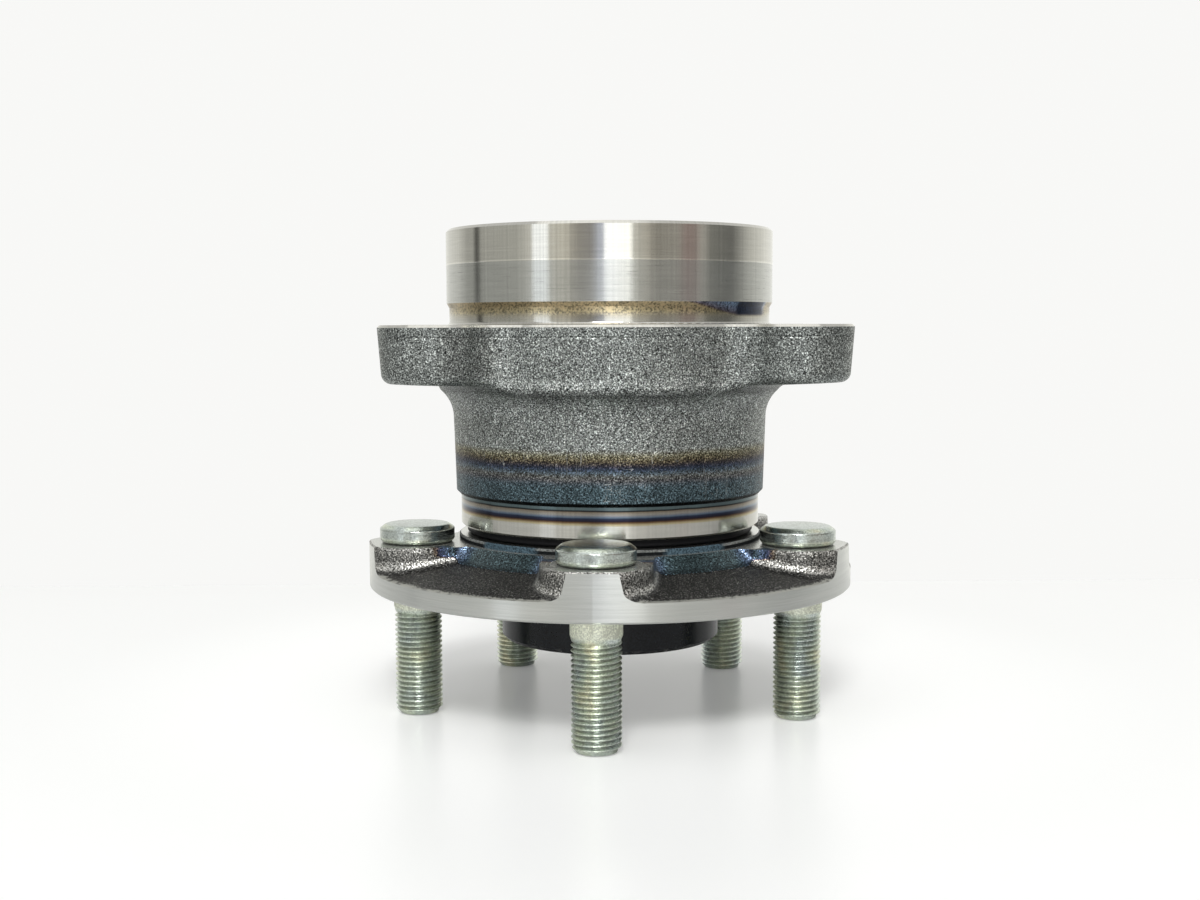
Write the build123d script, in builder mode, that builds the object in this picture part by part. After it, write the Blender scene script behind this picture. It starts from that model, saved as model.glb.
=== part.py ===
from build123d import *
import os
from math import acos, cos, degrees, hypot, radians, sin, tan

# Wheel hub bearing: a flanged hub that runs on two rows of balls inside a ring bolted to the knuckle.
#
# The Z axis is the axis of rotation. The origin is where it crosses the wheel mounting face.
# +Z points inboard, from the wheel to the knuckle, so the wheel studs point along -Z.
# All lengths are millimetres and all angles are degrees.

# Wheel side of the hub
stud_count = 5
stud_circle_diameter = 100.0
first_stud_angle = -96.95
wheel_pilot_diameter = 56.0
wheel_pilot_length = 14.3
wheel_pilot_chamfer = 0.9
face_relief_width = 4.0
face_relief_depth = 0.5
rim_margin = 11.8
rim_thickness = 4.7
rim_chamfer = 0.4
boss_height = 11.7
boss_radius = 12.9
boss_draft = 5.0
pocket_corner_radius = 3.0
pocket_floor_radius = 44.0
pocket_floor_height = 7.9
pocket_floor_round = 4.0
hub_land_radius = 38.8
seal_land_step = 1.4
seal_land_chamfer = 0.3
nut_recess_diameter = 45.0
nut_recess_depth = 16.3
nut_recess_chamfer = 1.0

# Wheel studs, M12 with a knurl pressed into the hub
stud_length = 31.8
stud_thread_diameter = 11.8
stud_point_length = 1.5
stud_point_step = 0.9
stud_taper_length = 1.8
stud_collar_length = 4.2
stud_collar_step = 0.22
stud_knurl_step = 0.18
stud_head_diameter = 18.74
stud_head_thickness = 4.86
stud_head_shoulder = 1.2
stud_head_shoulder_width = 1.47
stud_head_bevel = 0.9
stud_head_bevel_width = 0.67

# Bearing: two rows of balls, contact angles crossing outside the rows
balls_per_row = 13
ball_diameter = 11.906
pitch_diameter = 57.5
row_spacing = 46.4
race_clearance = 0.08
race_shoulder_depth = 3.28
cage_pocket_clearance = 0.2
cage_thickness = 3.6
cage_back_wall = 1.25
cage_claw_reach = 2.2

# Spindle, pressed inner ring and drive spline
inner_ring_wall = 3.717
hub_root_radius = 3.5
inner_ring_length = 32.9
inner_ring_chamfer = 1.0
inner_ring_edge = 0.6
formed_lip_height = 3.8
formed_lip_reach = 4.9
formed_lip_round = 1.2
spline_teeth = 27
spline_minor_diameter = 26.0
spline_tooth_height = 1.2
spline_tip_share = 0.42
spline_root_share = 0.62
spline_lead_in = 3.0

# Outer ring
ring_to_hub_gap = 2.2
end_band_wall = 3.05
end_band_length = 7.9
end_band_chamfer = 0.5
barrel_step = 1.17
barrel_edge = 0.95
barrel_draft = 1.2
flange_top_height = 66.0
flange_thickness = 14.4
flange_core_step = 4.15
flange_fillet_overrun = 4.0
flange_underside_draft = 2.5
flange_side_draft = 4.5
flange_edge_round = 2.5
flange_top_chamfer = 0.6
knuckle_bolt_spacing_x = 87.0
knuckle_bolt_spacing_y = 64.0
knuckle_bolt_hole_diameter = 10.8
knuckle_bolt_chamfer = 0.8
lobe_root_depth = 4.0
lobe_blend_radius = 9.0
neck_relief = 0.75
neck_length = 4.2
neck_fillet_radius = 0.8
knuckle_pilot_diameter = 83.2
knuckle_pilot_slope = 1.2
knuckle_pilot_chamfer = 0.7
pilot_seat_length = 9.0
pilot_relief = 0.06
centre_bore_relief = 0.9
centre_bore_margin = 4.0
lip_recess = 0.5

# Seals and encoder
seal_seat_step = 0.42
seal_steel = 1.0
seal_mouth_chamfer = 0.8
seal_rubber = 0.9
seal_lip_clearance = 0.2
outboard_seal_depth = 3.6
outboard_seal_flange = 1.5
inboard_seal_width = 4.1
seal_seat_run_out = 1.8
slinger_steel = 0.8
slinger_gap = 0.6
encoder_thickness = 1.2
encoder_width = 5.4
cage_to_seal_gap = 0.5

# Values worked out from the sizes above
full_turn = 360.0
match_tolerance = 0.01
ball_radius = ball_diameter / 2
pitch_radius = pitch_diameter / 2
groove_radius = ball_radius + race_clearance
outer_race_radius = pitch_radius + groove_radius
outer_land_radius = outer_race_radius - race_shoulder_depth
inner_race_radius = pitch_radius - groove_radius
inner_shoulder_radius = inner_race_radius + race_shoulder_depth
spindle_seat_radius = inner_race_radius - inner_ring_wall
# Angle of the groove at the ball centre and its length along the axis, from deepest point to shoulder
groove_angle = degrees(acos((groove_radius - race_shoulder_depth) / groove_radius))
groove_reach = groove_radius * sin(radians(groove_angle))
cage_back_reach = ball_radius + cage_pocket_clearance + cage_back_wall

# Heights, from the wheel face up: outboard seal, outboard row, inboard row, inboard seal, end of the ring
seal_land_height = boss_height + seal_land_step
ring_end_height = seal_land_height + ring_to_hub_gap
outboard_disc_top = ring_end_height + outboard_seal_depth
outboard_row_height = outboard_disc_top + cage_to_seal_gap + cage_back_reach
inboard_row_height = outboard_row_height + row_spacing
inboard_seal_height = inboard_row_height + cage_back_reach + cage_to_seal_gap
inner_ring_end = inboard_seal_height + inboard_seal_width + slinger_steel / 2
inner_ring_start = inner_ring_end - inner_ring_length
formed_lip_end = inner_ring_end + formed_lip_height
knuckle_pilot_end_height = formed_lip_end + lip_recess
pilot_seat_start = knuckle_pilot_end_height - pilot_seat_length

seal_seat_radius = outer_race_radius + seal_seat_step
end_band_radius = seal_seat_radius + end_band_wall
barrel_start_height = ring_end_height + end_band_length
barrel_bottom_radius = end_band_radius + barrel_step
knuckle_pilot_radius = knuckle_pilot_diameter / 2
neck_radius = knuckle_pilot_radius - neck_relief
flange_core_radius = neck_radius + flange_core_step
flange_underside_height = flange_top_height - flange_thickness
barrel_length = flange_underside_height - barrel_start_height
barrel_top_radius = barrel_bottom_radius + barrel_length * tan(radians(barrel_draft))
fillet_end_radius = flange_core_radius + flange_fillet_overrun
flange_fillet_radius = fillet_end_radius - barrel_top_radius
fillet_start_height = flange_underside_height - flange_fillet_radius
lobe_centre_distance = hypot(knuckle_bolt_spacing_x, knuckle_bolt_spacing_y) / 2
lobe_radius = lobe_centre_distance - flange_core_radius + lobe_root_depth

stud_circle_radius = stud_circle_diameter / 2
wheel_pilot_radius = wheel_pilot_diameter / 2
rim_radius = stud_circle_radius + rim_margin
nut_seat_height = nut_recess_depth - wheel_pilot_length
spline_minor_radius = spline_minor_diameter / 2
spline_root_radius = spline_minor_radius + spline_tooth_height
stud_thread_radius = stud_thread_diameter / 2
stud_collar_radius = stud_thread_radius + stud_collar_step
stud_knurl_radius = stud_collar_radius + stud_knurl_step
stud_angles = [first_stud_angle + number * full_turn / stud_count for number in range(stud_count)]
ball_angles = [number * full_turn / balls_per_row for number in range(balls_per_row)]


def polar_point(radius, angle, height):
    """Point at a radius and angle round the bearing axis, at a height."""
    return (radius * cos(radians(angle)), radius * sin(radians(angle)), height)


def flat_distance(shape, x=0.0, y=0.0):
    """Distance of a shape's centre from a line along Z, which is the bearing axis unless x and y say else."""
    return hypot(shape.center().X - x, shape.center().Y - y)


def save(builder, name):
    """Label a finished piece and write it to its own STEP file."""
    builder.part.label = name
    export_step(builder.part, f"parts/{name}.step")


os.makedirs("parts", exist_ok=True)

# ---------------------------------------------------------------- outer ring

with BuildPart() as outer_ring:
    # Forged mounting flange: a disc with a filleted underside, trimmed to the four-lobed outline
    disc_radius = lobe_centre_distance + 2 * lobe_radius
    disc_edge_rise = (disc_radius - fillet_end_radius) * tan(radians(flange_underside_draft))
    with BuildSketch(Plane.XZ):
        with BuildLine():
            Polyline(
                (fillet_end_radius, flange_underside_height),
                (disc_radius, flange_underside_height + disc_edge_rise),
                (disc_radius, flange_top_height),
                (outer_race_radius, flange_top_height),
                (outer_race_radius, fillet_start_height),
                (barrel_top_radius, fillet_start_height),
            )
            CenterArc((fillet_end_radius, fillet_start_height), flange_fillet_radius, 90, 90)
        make_face()
    revolve(axis=Axis.Z)
    with BuildSketch(Plane.XY.offset(flange_top_height)) as flange_outline:
        Circle(flange_core_radius)
        with GridLocations(knuckle_bolt_spacing_x, knuckle_bolt_spacing_y, 2, 2) as lobe_centres:
            Circle(lobe_radius)
        # The blends go where a lobe's circle crosses the core's circle
        lobe_points = [place.position for place in lobe_centres.locations]
        inner_corners = [
            corner
            for corner in flange_outline.vertices()
            if abs(flat_distance(corner) - flange_core_radius) < match_tolerance
            and any(abs(flat_distance(corner, p.X, p.Y) - lobe_radius) < match_tolerance for p in lobe_points)
        ]
        fillet(inner_corners, lobe_blend_radius)
    extrude(
        amount=fillet_start_height - flange_top_height,
        taper=flange_side_draft,
        mode=Mode.INTERSECT,
    )
    # The round follows the whole lower edge, because the lobes and their blends are tangent
    lower_edges = outer_ring.edges().filter_by_position(
        Axis.Z, flange_underside_height + 0.1, flange_underside_height + disc_edge_rise
    )
    lobe_edges = [edge for edge in lower_edges if flat_distance(edge) > fillet_end_radius + lobe_radius]
    fillet(lobe_edges, flange_edge_round)
    top_rim = outer_ring.faces().sort_by(Axis.Z)[-1].outer_wire().edges()
    chamfer(top_rim, flange_top_chamfer)

    # Turned body: end band, barrel, neck and knuckle pilot outside; seal seats and raceways inside
    neck_end_height = flange_top_height + neck_length
    pilot_start_height = neck_end_height + knuckle_pilot_slope
    relieved_pilot_radius = knuckle_pilot_radius - pilot_relief
    outboard_seat_end = outboard_disc_top + seal_seat_run_out
    inboard_seat_start = inboard_seal_height - cage_to_seal_gap
    bore_relief_start = outboard_row_height + groove_reach + centre_bore_margin
    bore_relief_end = inboard_row_height - groove_reach - centre_bore_margin
    with BuildSketch(Plane.XZ):
        with BuildLine():
            Polyline(
                (outer_race_radius, outboard_row_height),
                (outer_race_radius, outboard_seat_end),
                (seal_seat_radius, outboard_seat_end),
                (seal_seat_radius, ring_end_height),
                (end_band_radius - end_band_chamfer, ring_end_height),
                (end_band_radius, ring_end_height + end_band_chamfer),
                (end_band_radius, barrel_start_height),
                (barrel_bottom_radius - barrel_edge, barrel_start_height),
                (barrel_bottom_radius, barrel_start_height + barrel_edge),
                (barrel_top_radius, fillet_start_height),
                (barrel_top_radius, flange_underside_height),
                (neck_radius + neck_fillet_radius, flange_top_height - neck_fillet_radius),
                (neck_radius + neck_fillet_radius, flange_top_height),
            )
            CenterArc(
                (neck_radius + neck_fillet_radius, flange_top_height + neck_fillet_radius),
                neck_fillet_radius,
                180,
                90,
            )
            Polyline(
                (neck_radius, flange_top_height + neck_fillet_radius),
                (neck_radius, neck_end_height),
                (relieved_pilot_radius, pilot_start_height),
                (relieved_pilot_radius, pilot_seat_start),
                (knuckle_pilot_radius, pilot_seat_start + pilot_relief),
                (knuckle_pilot_radius, knuckle_pilot_end_height - knuckle_pilot_chamfer),
                (knuckle_pilot_radius - knuckle_pilot_chamfer, knuckle_pilot_end_height),
                (seal_seat_radius + seal_mouth_chamfer, knuckle_pilot_end_height),
                (seal_seat_radius, knuckle_pilot_end_height - seal_mouth_chamfer),
                (seal_seat_radius, inboard_seat_start),
                (outer_race_radius, inboard_seat_start),
                (outer_race_radius, inboard_row_height),
            )
            CenterArc((pitch_radius, inboard_row_height), groove_radius, 0, -groove_angle)
            Polyline(
                (outer_land_radius, inboard_row_height - groove_reach),
                (outer_land_radius, bore_relief_end + centre_bore_relief),
                (outer_land_radius + centre_bore_relief, bore_relief_end),
                (outer_land_radius + centre_bore_relief, bore_relief_start),
                (outer_land_radius, bore_relief_start - centre_bore_relief),
                (outer_land_radius, outboard_row_height + groove_reach),
            )
            CenterArc((pitch_radius, outboard_row_height), groove_radius, 0, groove_angle)
        make_face()
    revolve(axis=Axis.Z)

    # Tapped holes for the knuckle bolts, chamfered on the face that meets the knuckle
    with Locations((0, 0, flange_top_height)):
        with GridLocations(knuckle_bolt_spacing_x, knuckle_bolt_spacing_y, 2, 2):
            CounterSinkHole(
                radius=knuckle_bolt_hole_diameter / 2,
                counter_sink_radius=knuckle_bolt_hole_diameter / 2 + knuckle_bolt_chamfer,
                depth=flange_thickness,
                counter_sink_angle=90,
            )
save(outer_ring, "outer_ring")

# ---------------------------------------------------------------- wheel hub

# The forged pockets between the bosses: everything above a sloping floor, except the drafted arms
cutter_overrun = 1.5
arm_top_height = seal_land_height + 2 * cutter_overrun
floor_slope = (pocket_floor_height - rim_thickness) / (rim_radius - pocket_floor_radius)
shoulder_slope = (seal_land_height - pocket_floor_height) / (pocket_floor_radius - hub_land_radius)
cutter_radius = rim_radius + cutter_overrun
cutter_edge_height = rim_thickness - floor_slope * (cutter_radius - rim_radius)
cutter_inner_radius = hub_land_radius - cutter_overrun / shoulder_slope
arm_top_radius = boss_radius - (arm_top_height - boss_height) * tan(radians(boss_draft))
with BuildPart() as pocket_cutter:
    # The section is drawn through a stud, so that its seam falls inside an arm
    with BuildSketch(Plane.XZ.rotated((0, 0, first_stud_angle))):
        with BuildLine():
            FilletPolyline(
                (cutter_radius, cutter_edge_height),
                (cutter_radius, arm_top_height),
                (cutter_inner_radius, arm_top_height),
                (cutter_inner_radius, seal_land_height + cutter_overrun),
                (pocket_floor_radius, pocket_floor_height),
                radius=[0, 0, 0, 0, pocket_floor_round],
                close=True,
            )
        make_face()
    revolve(axis=Axis.Z)
    with BuildSketch(Plane.XY.offset(arm_top_height)):
        for angle in stud_angles:
            with Locations(Rotation(0, 0, angle)):
                with Locations((stud_circle_radius / 2, 0)):
                    Rectangle(stud_circle_radius, 2 * arm_top_radius)
                with Locations((stud_circle_radius, 0)):
                    Circle(arm_top_radius)
    extrude(amount=-arm_top_height, taper=-boss_draft, mode=Mode.SUBTRACT)
    foot_edges = [
        edge
        for edge in pocket_cutter.edges().filter_by(GeomType.BSPLINE)
        if edge.center().Z < boss_height and flat_distance(edge) < stud_circle_radius
    ]
    fillet(foot_edges, pocket_corner_radius)

with BuildPart() as wheel_hub:
    # Turned body: pilot and nut recess, flange, seal land, outboard raceway, spindle and formed lip
    pilot_end_height = -wheel_pilot_length
    face_relief_radius = wheel_pilot_radius + face_relief_width
    nut_recess_radius = nut_recess_diameter / 2
    formed_lip_radius = spindle_seat_radius + formed_lip_reach
    with BuildSketch(Plane.XZ.rotated((0, 0, first_stud_angle))):
        with BuildLine():
            Polyline(
                (spline_minor_radius, nut_seat_height),
                (nut_recess_radius, nut_seat_height),
                (nut_recess_radius, pilot_end_height + nut_recess_chamfer),
                (nut_recess_radius + nut_recess_chamfer, pilot_end_height),
                (wheel_pilot_radius - wheel_pilot_chamfer, pilot_end_height),
                (wheel_pilot_radius, pilot_end_height + wheel_pilot_chamfer),
                (wheel_pilot_radius, face_relief_depth),
                (face_relief_radius - face_relief_depth, face_relief_depth),
                (face_relief_radius, 0),
                (rim_radius - rim_chamfer, 0),
                (rim_radius, rim_chamfer),
                (rim_radius, boss_height - rim_chamfer),
                (rim_radius - rim_chamfer, boss_height),
                (hub_land_radius, boss_height),
                (hub_land_radius, seal_land_height - seal_land_chamfer),
                (hub_land_radius - seal_land_chamfer, seal_land_height),
                (inner_shoulder_radius + hub_root_radius, seal_land_height),
            )
            CenterArc(
                (inner_shoulder_radius + hub_root_radius, seal_land_height + hub_root_radius),
                hub_root_radius,
                180,
                90,
            )
            Line(
                (inner_shoulder_radius, seal_land_height + hub_root_radius),
                (inner_shoulder_radius, outboard_row_height - groove_reach),
            )
            CenterArc((pitch_radius, outboard_row_height), groove_radius, 180, groove_angle)
            Polyline(
                (inner_race_radius, outboard_row_height),
                (inner_race_radius, inner_ring_start),
                (spindle_seat_radius, inner_ring_start),
                (spindle_seat_radius, inner_ring_end - inner_ring_chamfer),
                (spindle_seat_radius + inner_ring_chamfer, inner_ring_end),
                (formed_lip_radius, inner_ring_end),
                (formed_lip_radius, formed_lip_end - formed_lip_round),
            )
            CenterArc(
                (formed_lip_radius - formed_lip_round, formed_lip_end - formed_lip_round),
                formed_lip_round,
                0,
                90,
            )
            Polyline(
                (formed_lip_radius - formed_lip_round, formed_lip_end),
                (spline_root_radius + spline_lead_in, formed_lip_end),
                (spline_minor_radius, formed_lip_end - spline_lead_in - spline_tooth_height),
                (spline_minor_radius, nut_seat_height),
            )
        make_face()
    revolve(axis=Axis.Z)
    add(pocket_cutter.part, mode=Mode.SUBTRACT)

    # Holes for the stud knurls
    with Locations([Plane(polar_point(stud_circle_radius, angle, 0)) for angle in stud_angles]):
        Cylinder(
            stud_knurl_radius,
            boss_height,
            align=(Align.CENTER, Align.CENTER, Align.MIN),
            mode=Mode.SUBTRACT,
        )

    # Drive spline: tapered gaps cut between the teeth, along the whole bore
    tooth_pitch_angle = full_turn / spline_teeth
    tip_gap = 2 * spline_minor_radius * sin(radians(tooth_pitch_angle * spline_root_share / 2))
    root_gap = 2 * spline_root_radius * sin(radians(tooth_pitch_angle * spline_tip_share / 2))
    with BuildSketch(Plane.XY.offset(nut_seat_height)):
        with PolarLocations(0, spline_teeth):
            Polygon(
                (spline_minor_radius - spline_tooth_height, -tip_gap / 2),
                (spline_minor_radius, -tip_gap / 2),
                (spline_root_radius, -root_gap / 2),
                (spline_root_radius, root_gap / 2),
                (spline_minor_radius, tip_gap / 2),
                (spline_minor_radius - spline_tooth_height, tip_gap / 2),
                align=None,
            )
    extrude(amount=formed_lip_end - nut_seat_height, mode=Mode.SUBTRACT)
save(wheel_hub, "wheel_hub")

# ---------------------------------------------------------------- inner ring

with BuildPart() as inner_ring:
    with BuildSketch(Plane.XZ):
        with BuildLine():
            Polyline(
                (inner_race_radius, inboard_row_height),
                (inner_race_radius, inner_ring_start + inner_ring_edge),
                (inner_race_radius - inner_ring_edge, inner_ring_start),
                (spindle_seat_radius + inner_ring_chamfer, inner_ring_start),
                (spindle_seat_radius, inner_ring_start + inner_ring_chamfer),
                (spindle_seat_radius, inner_ring_end - inner_ring_chamfer),
                (spindle_seat_radius + inner_ring_chamfer, inner_ring_end),
                (inner_shoulder_radius - inner_ring_edge, inner_ring_end),
                (inner_shoulder_radius, inner_ring_end - inner_ring_edge),
                (inner_shoulder_radius, inboard_row_height + groove_reach),
            )
            CenterArc((pitch_radius, inboard_row_height), groove_radius, 180, -groove_angle)
        make_face()
    revolve(axis=Axis.Z)
save(inner_ring, "inner_ring")

# ---------------------------------------------------------------- wheel studs

for number, angle in enumerate(stud_angles, start=1):
    stud_point = polar_point(stud_circle_radius, angle, 0)
    head_top = boss_height + stud_head_thickness
    stud_head_radius = stud_head_diameter / 2
    with BuildPart() as wheel_stud:
        with BuildSketch(Plane(origin=stud_point, x_dir=(1, 0, 0), z_dir=(0, -1, 0))):
            with BuildLine():
                Polyline(
                    (0, -stud_length),
                    (stud_thread_radius - stud_point_step, -stud_length),
                    (stud_thread_radius, stud_point_length - stud_length),
                    (stud_thread_radius, -stud_collar_length - stud_taper_length),
                    (stud_collar_radius, -stud_collar_length),
                    (stud_collar_radius, 0),
                    (stud_knurl_radius, 0),
                    (stud_knurl_radius, boss_height),
                    (stud_head_radius - stud_head_bevel_width, boss_height),
                    (stud_head_radius, boss_height + stud_head_bevel),
                    (stud_head_radius, head_top - stud_head_shoulder),
                    (stud_head_radius - stud_head_shoulder_width, head_top),
                    (0, head_top),
                    close=True,
                )
            make_face()
        revolve(axis=Axis(stud_point, (0, 0, 1)))
    save(wheel_stud, f"wheel_stud_{number}")

# ---------------------------------------------------------------- balls and cages

rows = {"outboard": (outboard_row_height, -1), "inboard": (inboard_row_height, 1)}
for row_name, (row_height, back_side) in rows.items():
    # Crown cage: a band whose closed side faces the seal and whose claws hold the balls
    with BuildPart() as cage:
        with BuildSketch(Plane.XZ):
            with Locations((pitch_radius, row_height + back_side * (cage_back_reach - cage_claw_reach) / 2)):
                Rectangle(cage_thickness, cage_back_reach + cage_claw_reach)
        revolve(axis=Axis.Z)
        with Locations([polar_point(pitch_radius, angle, row_height) for angle in ball_angles]):
            Sphere(ball_radius + cage_pocket_clearance, mode=Mode.SUBTRACT)
    save(cage, f"{row_name}_cage")

    for number, angle in enumerate(ball_angles, start=1):
        with BuildPart() as ball:
            with Locations(polar_point(pitch_radius, angle, row_height)):
                Sphere(ball_radius)
        save(ball, f"{row_name}_ball_{number:02d}")

# ---------------------------------------------------------------- outboard seal

# Steel case: a sleeve pressed into the seal seat, with a flange over the ring's end and an inner disc
seal_sleeve_radius = seal_seat_radius - seal_steel
case_flange_radius = seal_seat_radius + outboard_seal_flange
case_flange_height = ring_end_height - seal_steel
outboard_disc_bottom = outboard_disc_top - seal_steel
case_disc_radius = inner_shoulder_radius + hub_root_radius
with BuildPart() as outboard_seal_case:
    with BuildSketch(Plane.XZ):
        with BuildLine():
            Polyline(
                (case_flange_radius, case_flange_height),
                (case_flange_radius, ring_end_height),
                (seal_seat_radius, ring_end_height),
                (seal_seat_radius, outboard_disc_top),
                (case_disc_radius, outboard_disc_top),
                (case_disc_radius, outboard_disc_bottom),
                (seal_sleeve_radius, outboard_disc_bottom),
                (seal_sleeve_radius, case_flange_height),
                close=True,
            )
        make_face()
    revolve(axis=Axis.Z)
save(outboard_seal_case, "outboard_seal_case")

# Rubber bonded to the case: a flange bead, a side lip towards the flange and two lips on the hub's land
lip_contact_radius = inner_shoulder_radius + seal_lip_clearance
side_lip_height = seal_land_height + seal_lip_clearance
seal_bead_height = (case_flange_height + side_lip_height) / 2
rubber_inner_radius = case_disc_radius - seal_rubber
rubber_face_height = outboard_disc_bottom - seal_rubber
side_lip_root = seal_sleeve_radius - 3 * seal_rubber
with BuildPart() as outboard_seal_lip:
    with BuildSketch(Plane.XZ):
        with BuildLine():
            Polyline(
                (case_flange_radius, case_flange_height),
                (case_flange_radius, seal_bead_height),
                (case_flange_radius - seal_rubber, side_lip_height),
                (case_flange_radius - 1.5 * seal_rubber, side_lip_height),
                (seal_sleeve_radius, seal_bead_height),
                (seal_sleeve_radius - seal_rubber, seal_bead_height),
                (seal_sleeve_radius - seal_rubber, rubber_face_height),
                (side_lip_root, rubber_face_height),
                (side_lip_root + seal_rubber, side_lip_height),
                (side_lip_root + seal_rubber / 2, side_lip_height),
                (side_lip_root - seal_rubber, rubber_face_height),
                (rubber_inner_radius, rubber_face_height),
                (lip_contact_radius, seal_land_height + hub_root_radius),
                (lip_contact_radius, seal_land_height + hub_root_radius + seal_rubber / 2),
                (rubber_inner_radius - seal_rubber, outboard_disc_bottom),
                (lip_contact_radius, outboard_disc_top - seal_rubber / 2),
                (lip_contact_radius, outboard_disc_top),
                (case_disc_radius, outboard_disc_top),
                (case_disc_radius, outboard_disc_bottom),
                (seal_sleeve_radius, outboard_disc_bottom),
                (seal_sleeve_radius, case_flange_height),
                close=True,
            )
        make_face()
    revolve(axis=Axis.Z)
save(outboard_seal_lip, "outboard_seal_lip")

# ---------------------------------------------------------------- inboard seal and encoder

# Steel case pressed into the inboard seal seat, open towards the slinger
inboard_disc_top = inboard_seal_height + seal_steel
inboard_case_end = inboard_seal_height + inboard_seal_width
with BuildPart() as inboard_seal_case:
    with BuildSketch(Plane.XZ):
        with BuildLine():
            Polyline(
                (seal_seat_radius, inboard_seal_height),
                (seal_seat_radius, inboard_case_end),
                (seal_sleeve_radius, inboard_case_end),
                (seal_sleeve_radius, inboard_disc_top),
                (case_disc_radius, inboard_disc_top),
                (case_disc_radius, inboard_seal_height),
                close=True,
            )
        make_face()
    revolve(axis=Axis.Z)
save(inboard_seal_case, "inboard_seal_case")

# Slinger pressed on the inner ring: its disc faces the seal and carries the encoder
slinger_sleeve_radius = inner_shoulder_radius + slinger_steel
slinger_disc_bottom = inner_ring_end - inner_ring_edge - slinger_steel
slinger_disc_top = slinger_disc_bottom + slinger_steel
slinger_disc_radius = seal_sleeve_radius - slinger_gap
with BuildPart() as encoder_slinger:
    with BuildSketch(Plane.XZ):
        with BuildLine():
            Polyline(
                (inner_shoulder_radius, inboard_seal_height),
                (inner_shoulder_radius, slinger_disc_top),
                (slinger_disc_radius, slinger_disc_top),
                (slinger_disc_radius, slinger_disc_bottom),
                (slinger_sleeve_radius, slinger_disc_bottom),
                (slinger_sleeve_radius, inboard_seal_height),
                close=True,
            )
        make_face()
    revolve(axis=Axis.Z)
save(encoder_slinger, "encoder_slinger")

with BuildPart() as encoder_ring:
    with BuildSketch(Plane.XY.offset(slinger_disc_top)):
        Circle(slinger_disc_radius)
        Circle(slinger_disc_radius - encoder_width, mode=Mode.SUBTRACT)
    extrude(amount=encoder_thickness)
save(encoder_ring, "encoder_ring")

# Rubber bonded to the case: a side lip towards the slinger's disc and two lips on its sleeve
sleeve_lip_radius = slinger_sleeve_radius + seal_lip_clearance
disc_lip_height = slinger_disc_bottom - seal_lip_clearance
inboard_rubber_top = inboard_disc_top + seal_rubber / 2
with BuildPart() as inboard_seal_lip:
    with BuildSketch(Plane.XZ):
        with BuildLine():
            Polyline(
                (seal_sleeve_radius, inboard_disc_top),
                (seal_sleeve_radius, inboard_rubber_top),
                (side_lip_root - seal_rubber, inboard_rubber_top),
                (side_lip_root - seal_rubber / 2, disc_lip_height),
                (side_lip_root - seal_rubber, disc_lip_height),
                (side_lip_root - 2 * seal_rubber, inboard_rubber_top),
                (case_disc_radius, inboard_rubber_top),
                (sleeve_lip_radius, disc_lip_height - seal_rubber / 2),
                (sleeve_lip_radius, disc_lip_height - seal_rubber),
                (case_disc_radius - seal_rubber, inboard_disc_top),
                (sleeve_lip_radius, inboard_seal_height + seal_rubber / 2),
                (sleeve_lip_radius, inboard_seal_height),
                (case_disc_radius, inboard_seal_height),
                (case_disc_radius, inboard_disc_top),
                close=True,
            )
        make_face()
    revolve(axis=Axis.Z)
save(inboard_seal_lip, "inboard_seal_lip")
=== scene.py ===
"""Wheel hub bearing: finishes, threaded wheel studs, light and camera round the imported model.

Lengths in the shape functions and in the materials are millimetres; meshes are written in metres.
"""
import math

import bpy
import numpy as np
from mathutils import Matrix, Vector


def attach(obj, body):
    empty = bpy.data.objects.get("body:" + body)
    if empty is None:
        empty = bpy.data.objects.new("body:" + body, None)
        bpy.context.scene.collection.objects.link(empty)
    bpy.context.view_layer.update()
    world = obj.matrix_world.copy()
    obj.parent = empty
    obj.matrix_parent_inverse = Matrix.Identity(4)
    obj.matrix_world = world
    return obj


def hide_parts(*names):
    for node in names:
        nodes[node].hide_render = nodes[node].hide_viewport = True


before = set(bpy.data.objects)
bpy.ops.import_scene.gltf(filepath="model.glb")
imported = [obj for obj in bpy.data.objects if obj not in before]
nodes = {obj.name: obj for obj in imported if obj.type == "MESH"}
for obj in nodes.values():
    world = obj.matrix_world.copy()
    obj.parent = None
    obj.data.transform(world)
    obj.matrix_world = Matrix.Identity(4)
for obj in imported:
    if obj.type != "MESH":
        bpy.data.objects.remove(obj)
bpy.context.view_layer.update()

MM = 0.001

# The hub: heights are above the wheel face, and the studs stand on the floor with their points
FLOOR_HEIGHT = -31.8
RIM_RADIUS = 61.8
PILOT_RADIUS = 28.0
BOSS_HEIGHT = 11.7
HUB_LAND_RADIUS = 38.8
CONE_RADIUS = 44.0
SPOT_FACE_RADIUS = 10.6

# The wheel studs
STUD_COUNT = 5
STUD_STEP = 360.0 / STUD_COUNT
STUD_CIRCLE_RADIUS = 50.0
FIRST_STUD_ANGLE = -96.95
THREAD_RADIUS = 5.9
THREAD_PITCH = 1.25
THREAD_DEPTH = 0.70
THREAD_START, THREAD_END = -31.0, -5.2
COLLAR_START = -4.9
HEAD_TOP = 16.5

# The outer ring, from its seal side up
END_BAND_RADIUS = 37.0
BAND_HEAT_START, BAND_HEAT_LENGTH = 18.6, 4.2
BARREL_START = 23.2
BARREL_HEAT_TOP, BARREL_HEAT_LENGTH = 37.0, 9.2
FLANGE_TOP = 66.0
FLANGE_CHAMFER = 0.6
NECK_START, NECK_END = 66.5, 71.36
PILOT_STEP = 80.9
BOLT_HALF_WIDTH, BOLT_HALF_DEPTH = 43.5, 32.0

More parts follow.
